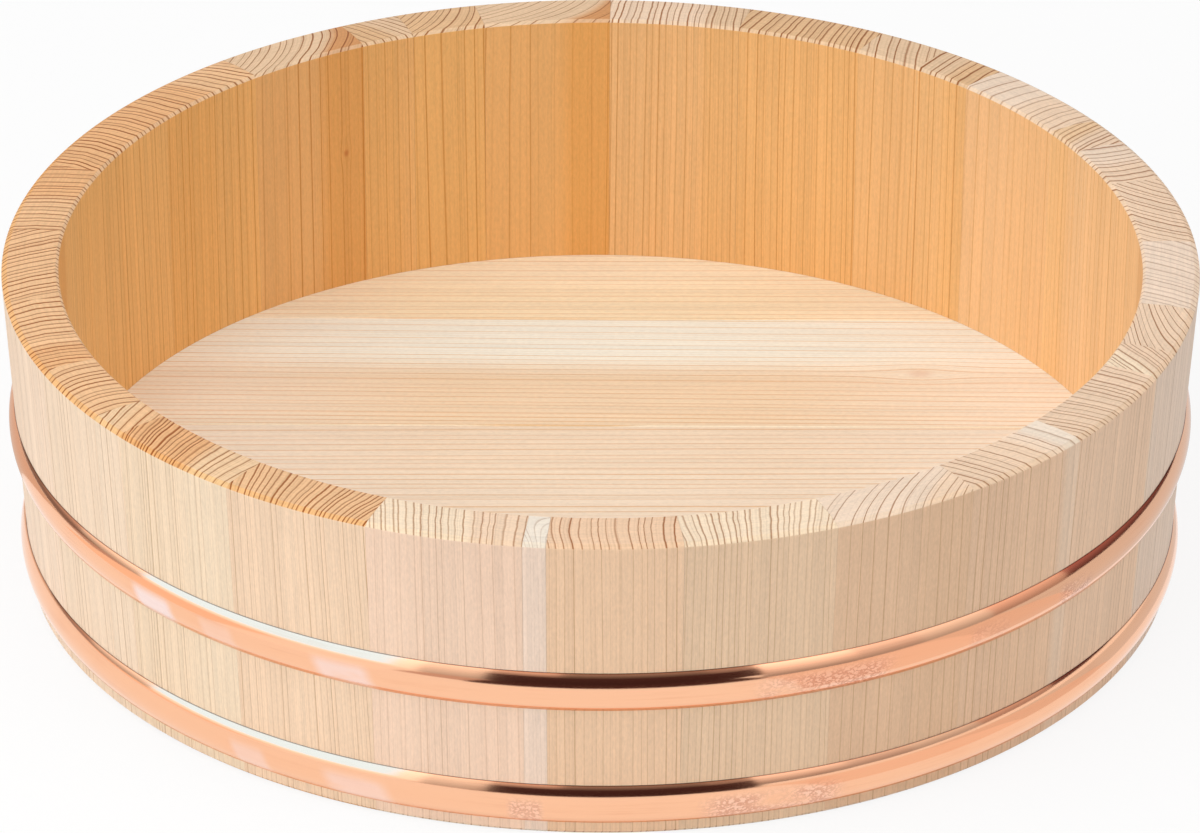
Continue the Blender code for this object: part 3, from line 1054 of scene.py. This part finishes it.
# Marks on the hoops: angle and half width in degrees, strength. The core is the even part of a mark, and
# the pale ones slant.
PATCH_CORE = 0.55
BLOOM_SLANT = 0.012
HOOP_SCUFFS = {
    "copper_upper_hoop": [(22.0, 8.0, 1.0), (52.0, 3.0, 0.9), (40.0, 3.0, 0.4)],
    "copper_lower_hoop": [(17.0, 8.0, 1.0), (-7.0, 2.0, 0.8)],
}
HOOP_BLOOMS = {
    "copper_upper_hoop": [(-47.5, 3.2, 0.75), (-39.0, 2.5, 0.2), (-25.0, 3.5, 0.5)],
    "copper_lower_hoop": [(-36.0, 2.5, 0.3), (-24.0, 4.0, 0.35)],
}

# Copper: its fine patterns, and zones from the foot of a hoop, -1, to its top, 1, or by pattern
STREAK = Grain((0.02, 0.02, 1.2), 0.25, 3, 0.6)
BLOTCH = Grain((0.05, 0.05, 0.12), 1.0, 3)
SQUIGGLE = Grain((0.5, 0.5, 0.8), 1.0, 2, 0.55)
TARNISH_ZONE = (0.0, 0.8)
TARNISH_SHARE = 0.35
# Painted shade along the lower edge of a hoop
LOW_EDGE_SHADE_ZONE = (-1.0, -0.6)
LOW_EDGE_SHADE_SHARE = 0.6
LOW_HALF_ZONE = (-0.1, 0.5)
# Painted shade along the top edge of a hoop, against the wall
TOP_EDGE_SHADE_ZONE = (0.95, 0.99)
TOP_EDGE_SHADE_SHARE = 0.8
BLOOM_ZONE = (-0.7, 0.0)
SCUFF_ZONE = (-0.45, 0.1)
SCUFF_LINE_ZONE = (0.05, 0.22)
SCUFF_LINE_SHARE = 0.58
SCUFF_PALENESS = 0.2
COPPER_ROUGHNESS = 0.11
STREAK_ROUGHNESS = 0.02
SCUFF_ROUGHNESS = 0.03
BLOOM_ROUGHNESS = 0.2
SCUFF_RELIEF = 0.25
COPPER_BUMP = 0.25
COPPER_BUMP_DEPTH = 0.05


def copper_patches(graph, angle, patches):
    """1 in the middle of each patch, (angle, half width, strength) round the hoop, and 0 elsewhere."""
    total = 0.0
    for middle, width, strength in patches:
        away = abs(angle - radians(middle))
        patch = 1 - graph.step(radians(width) * PATCH_CORE, radians(width), away)
        total = graph.math("MAXIMUM", total, patch * strength)
    return total


def copper_material(name, foot, top, dice):
    """Bright rolled copper: painted shade on its lower and top edges, pale bloom, and fine scuffs where the
    hoop was hammered on.
    """
    material, graph, shader = new_material(name)
    place = graph.place()
    moved = graph.vector("ADD", place, [dice.uniform(0, PATTERN_RANGE) for _ in range(3)])
    x, y, z = graph.parts(place)
    angle = graph.math("ARCTAN2", x, y * -1.0)
    up = (z - (foot + top) / 2) * (2 / (top - foot))
    streak, blotch, squiggle = [graph.noise(moved, grain) for grain in (STREAK, BLOTCH, SQUIGGLE)]
    low_half = 1 - graph.step(*LOW_HALF_ZONE, up)
    blooms = copper_patches(graph, angle + up * BLOOM_SLANT, HOOP_BLOOMS[name])
    bloom = blooms * graph.step(*BLOOM_ZONE, blotch) * low_half
    scuffs = copper_patches(graph, angle, HOOP_SCUFFS[name])
    near_scuffs = scuffs * graph.step(*SCUFF_ZONE, blotch) * low_half
    scuff = near_scuffs * (1 - graph.step(*SCUFF_LINE_ZONE, abs(squiggle)))
    shown = graph.cover(COPPER, [
        (graph.step(*TARNISH_ZONE, streak + blotch) * TARNISH_SHARE, COPPER_TARNISH),
        # Painted shade at the lower edge
        ((1 - graph.step(*LOW_EDGE_SHADE_ZONE, up)) * LOW_EDGE_SHADE_SHARE, COPPER_LOW_EDGE_SHADE),
        (bloom, COPPER_BLOOM),
        (near_scuffs * SCUFF_PALENESS, COPPER_BLOOM),
        (scuff * SCUFF_LINE_SHARE, COPPER_SCUFF),
        # Painted shade at the top edge, where the hoop meets the wall
        (graph.step(*TOP_EDGE_SHADE_ZONE, up) * TOP_EDGE_SHADE_SHARE, COPPER_TOP_EDGE_SHADE),
    ])
    rough = streak * STREAK_ROUGHNESS + COPPER_ROUGHNESS
    rough = rough + near_scuffs * SCUFF_ROUGHNESS + bloom * BLOOM_ROUGHNESS
    relief = streak * STREAK.amount - scuff * SCUFF_RELIEF
    graph.feed(shader, {
        "Base Color": shown,
        "Roughness": rough,
        "Normal": graph.bump(relief, COPPER_BUMP, COPPER_BUMP_DEPTH),
        "Metallic": 1.0,
    })
    return material


def make_hoops(dice):
    for node, (foot, top) in HOOPS.items():
        name = f"copper_{node}"
        piece = add_object(name, hoop_mesh(name, foot, top, dice))
        finish_piece(piece, copper_material(name, foot, top, dice), "copper", node)


BAMBOO_GRAIN = Grain((1.4, 1.4, 1.4), 0.1, 3)
BAMBOO_FIBRE_ZONE = (-0.2, 0.5)
BAMBOO_ROUGHNESS = 0.5


def dress_pins():
    """The pins keep their CAD shape and get a bamboo finish."""
    material, graph, shader = new_material("bamboo")
    fibre = graph.noise(graph.place(), BAMBOO_GRAIN)
    shown = graph.mix(graph.step(*BAMBOO_FIBRE_ZONE, fibre), BAMBOO, BAMBOO_FIBRE)
    rough = fibre * BAMBOO_GRAIN.amount + BAMBOO_ROUGHNESS
    graph.feed(shader, {"Base Color": shown, "Roughness": rough})
    for name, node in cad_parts.items():
        if name.startswith("stave_pin_"):
            set_material(node.data, material)


# Stage, with its lengths in metres. A card is a panel that only reflections see, curved round the tub:
# first and last angle in degrees, distance of its two edges from the tub's axis, their heights, their
# brightness, and hue.
FLOOR_SIZE = 12
FLOOR_DROP = 0.0002
FLOOR_TONE = (0.9, 0.9, 0.9, 1.0)
FLOOR_ROUGHNESS = 0.9
FLOOR_GLOW = 0.86
CARD_STEPS = 12
AMBIENT = 0.5
WHITE = (1.0, 1.0, 1.0, 1.0)
SKY = (0.36, 0.66, 1.0, 1.0)
BROWN = (1.0, 0.78, 0.72, 1.0)
PALE = (1.0, 0.93, 0.92, 1.0)
ORANGE = (1.0, 0.81, 0.69, 1.0)
PEACH = (1.0, 0.86, 0.79, 1.0)
DARK = (1.0, 0.45, 0.45, 1.0)
Card = namedtuple("Card", "first last near far foot top foot_level top_level hue")
CARDS = {
    "front_dark": (-20, 29, 2.6, 2.6, 0.0, 0.9, 0.045, 0.06, DARK),
    "front_brown_left": (-20, -7, 2.6, 2.6, 0.9, 2.6, 0.22, 2.0, BROWN),
    "front_brown": (-7, 20, 2.6, 2.6, 0.9, 2.6, 0.10, 0.75, BROWN),
    "front_brown_right": (20, 29, 2.6, 2.6, 0.9, 2.6, 0.25, 0.8, BROWN),
    "left_grey": (-32, -20, 2.6, 2.6, 0.0, 2.6, 0.55, 1.8, WHITE),
    "left_cream": (-37, -32, 2.6, 2.6, 0.25, 3.5, 1.3, 2.2, WHITE),
    "left_pale": (-90, -32, 2.6, 2.6, 0.0, 0.25, 1.05, 1.4, WHITE),
    "left_white": (-90, -37, 2.6, 2.6, 0.25, 3.5, 2.45, 2.45, SKY),
    "left_fading": (-108, -90, 2.6, 2.6, 0.0, 1.5, 0.42, 2.8, WHITE),
    "left_brown": (-170, -108, 2.6, 2.6, 0.0, 1.5, 0.32, 1.8, BROWN),
    "right_near": (22, 36, 0.33, 0.33, 0.026, 0.2, 0.30, 2.4, PALE),
    "right_pale": (36, 46, 0.33, 0.33, 0.028, 0.2, 0.36, 1.7, PALE),
    "right_bright": (46, 58, 0.33, 0.33, 0.028, 0.2, 0.43, 1.7, WHITE),
    "right_fading": (58, 73, 0.33, 0.33, 0.030, 0.2, 0.38, 1.6, BROWN),
    "right_dark": (73, 130, 0.33, 0.33, 0.034, 0.2, 0.07, 1.0, DARK),
    "floor_front": (-19, 24, 0.365, 2.6, 0.008, 0.008, 0.06, 0.06, DARK),
    "floor_front_left": (-30, -19, 0.40, 2.6, 0.008, 0.008, 0.6, 0.6, BROWN),
    "floor_left_side": (-90, -56, 0.30, 2.6, 0.004, 0.004, 1.02, 1.02, ORANGE),
    "floor_left": (-56, -30, 0.30, 2.6, 0.004, 0.004, 1.03, 1.03, WHITE),
    "floor_left_fading": (-100, -90, 0.45, 2.6, 0.004, 0.004, 0.55, 0.55, BROWN),
    "floor_left_far": (-165, -100, 0.48, 2.6, 0.004, 0.004, 0.24, 0.24, BROWN),
    "floor_left_back": (-165, -100, 0.19, 0.48, 0.0005, 0.0005, 0.72, 0.72, ORANGE),
    "floor_right": (24, 50, 0.19, 0.6, 0.0005, 0.0005, 0.93, 0.93, PEACH),
    "floor_right_side": (50, 66, 0.19, 0.6, 0.0005, 0.0005, 0.82, 0.82, PEACH),
    "floor_right_back": (66, 130, 0.19, 0.6, 0.0005, 0.0005, 0.72, 0.72, WHITE),
}

# Lamps: angles in degrees, power in watts
Lamp = namedtuple("Lamp", "angle elevation distance size power")
LAMPS = {
    "key": Lamp(-58, 42, 2.0, 2.8, 23.5),
    "top": Lamp(-10, 82, 2.2, 2.2, 10.2),
    "fill": Lamp(60, 38, 2.4, 1.5, 7),
}


def seen_rays(graph):
    """1 for rays from the camera and rays that metal or glass sends on, 0 for light on the object."""
    rays = graph.node("ShaderNodeLightPath").outputs
    seen = graph.math("MAXIMUM", rays["Is Camera Ray"], rays["Is Glossy Ray"])
    return graph.math("MAXIMUM", seen, rays["Is Transmission Ray"])


def make_world():
    world = bpy.data.worlds.new("studio")
    bpy.context.scene.world = world
    world.use_nodes = True
    graph = Graph(world.node_tree)
    light = between(seen_rays(graph), AMBIENT, 1)
    graph.feed(world.node_tree.nodes["Background"], {"Color": WHITE, "Strength": light})


def make_floor_stage():
    """A pale floor. From below it is clear, so that the underside can be looked at."""
    half = FLOOR_SIZE / 2
    mesh = bpy.data.meshes.new("studio_floor")
    corners = [(-half, -half), (half, -half), (half, half), (-half, half)]
    mesh.from_pydata([(x, y, -FLOOR_DROP) for x, y in corners], [], [(0, 1, 2, 3)])
    floor = add_object("studio_floor", mesh)
    material, graph, shader = new_material("studio_floor")
    graph.feed(shader, {
        "Base Color": FLOOR_TONE,
        "Roughness": FLOOR_ROUGHNESS,
        "Specular IOR Level": 0.0,
    })
    glow = graph.node("ShaderNodeEmission").outputs[0]
    seen = seen_rays(graph) * FLOOR_GLOW
    above = graph.node("ShaderNodeMixShader", {0: seen, 1: shader.outputs[0], 2: glow}).outputs[0]
    from_below = graph.node("ShaderNodeNewGeometry").outputs["Backfacing"]
    clear = graph.node("ShaderNodeBsdfTransparent").outputs[0]
    surface = graph.node("ShaderNodeMixShader", {0: from_below, 1: above, 2: clear}).outputs[0]
    graph.feed(material.node_tree.nodes["Material Output"], {"Surface": surface})
    mesh.materials.append(material)


def in_studio(angle, elevation, distance):
    """A point of the studio, in metres, as seen from the middle of the tub."""
    flat = distance * cos(radians(elevation))
    return on_circle(flat, radians(angle), distance * sin(radians(elevation)))


def make_card(name, lower, upper, foot_level, top_level, hue):
    """A glowing strip between two rows of points, which only reflections see."""
    verts = [point for pair in zip(lower, upper) for point in pair]
    faces = [(i, i + 1, i + 3, i + 2) for i in range(0, len(verts) - 2, 2)]
    mesh = bpy.data.meshes.new(name)
    mesh.from_pydata(verts, [], faces)
    card = add_object(name, mesh)
    material = bpy.data.materials.new(name)
    material.use_nodes = True
    material.node_tree.nodes.clear()
    graph = Graph(material.node_tree)
    level = foot_level
    if top_level != foot_level:
        up = graph.parts(graph.coordinates("Generated"))[2]
        level = between(up, foot_level, top_level)
    glow = graph.node("ShaderNodeEmission", {"Color": hue, "Strength": level})
    graph.node("ShaderNodeOutputMaterial", {"Surface": glow.outputs[0]})
    mesh.materials.append(material)
    for ray in ("camera", "diffuse", "transmission", "shadow"):
        setattr(card, f"visible_{ray}", False)


def make_cards():
    for name, row in CARDS.items():
        card = Card(*row)
        turn = card.last - card.first
        angles = [radians(card.first + turn * step / CARD_STEPS) for step in range(CARD_STEPS + 1)]
        lower = [on_circle(card.near, angle, card.foot) for angle in angles]
        upper = [on_circle(card.far, angle, card.top) for angle in angles]
        make_card(name, lower, upper, card.foot_level, card.top_level, card.hue)


def make_lamp(name, lamp):
    light = bpy.data.lights.new(name, "AREA")
    light.shape = "DISK"
    light.size = lamp.size
    light.energy = lamp.power
    obj = add_object(name, light)
    obj.location = in_studio(lamp.angle, lamp.elevation, lamp.distance)
    obj.rotation_euler = (-obj.location).to_track_quat("-Z", "Y").to_euler()
    obj.visible_camera = False
    obj.visible_glossy = False


# Camera, fitted to the photo: it looks a little below the middle of the rim
CAMERA_DISTANCE = 3.6
CAMERA_ELEVATION = 27.22
CAMERA_PITCH = 27.976
CAMERA_ROLL = 0.244
CAMERA_LENS = 359.39
SENSOR_WIDTH = 36


def make_camera():
    data = bpy.data.cameras.new("camera")
    data.lens = CAMERA_LENS
    data.sensor_width = SENSOR_WIDTH
    rim_middle = Vector((0, 0, HEIGHT * MM))
    place = Matrix.Translation(rim_middle + in_studio(0, CAMERA_ELEVATION, CAMERA_DISTANCE))
    pitch = Matrix.Rotation(radians(90 - CAMERA_PITCH), 4, "X")
    roll = Matrix.Rotation(radians(CAMERA_ROLL), 4, "Z")
    bpy.context.scene.camera = add_object("camera", data, place @ pitch @ roll)


def make_stage():
    make_world()
    make_floor_stage()
    make_cards()
    for name, lamp in LAMPS.items():
        make_lamp(name, lamp)
    make_camera()
    bpy.context.scene.view_settings.view_transform = "Standard"


dice = random.Random(SEED)
wood_group = make_wood_group()
make_staves(wood_group, dice)
make_floor(wood_group, dice)
make_hoops(dice)
dress_pins()
make_stage()
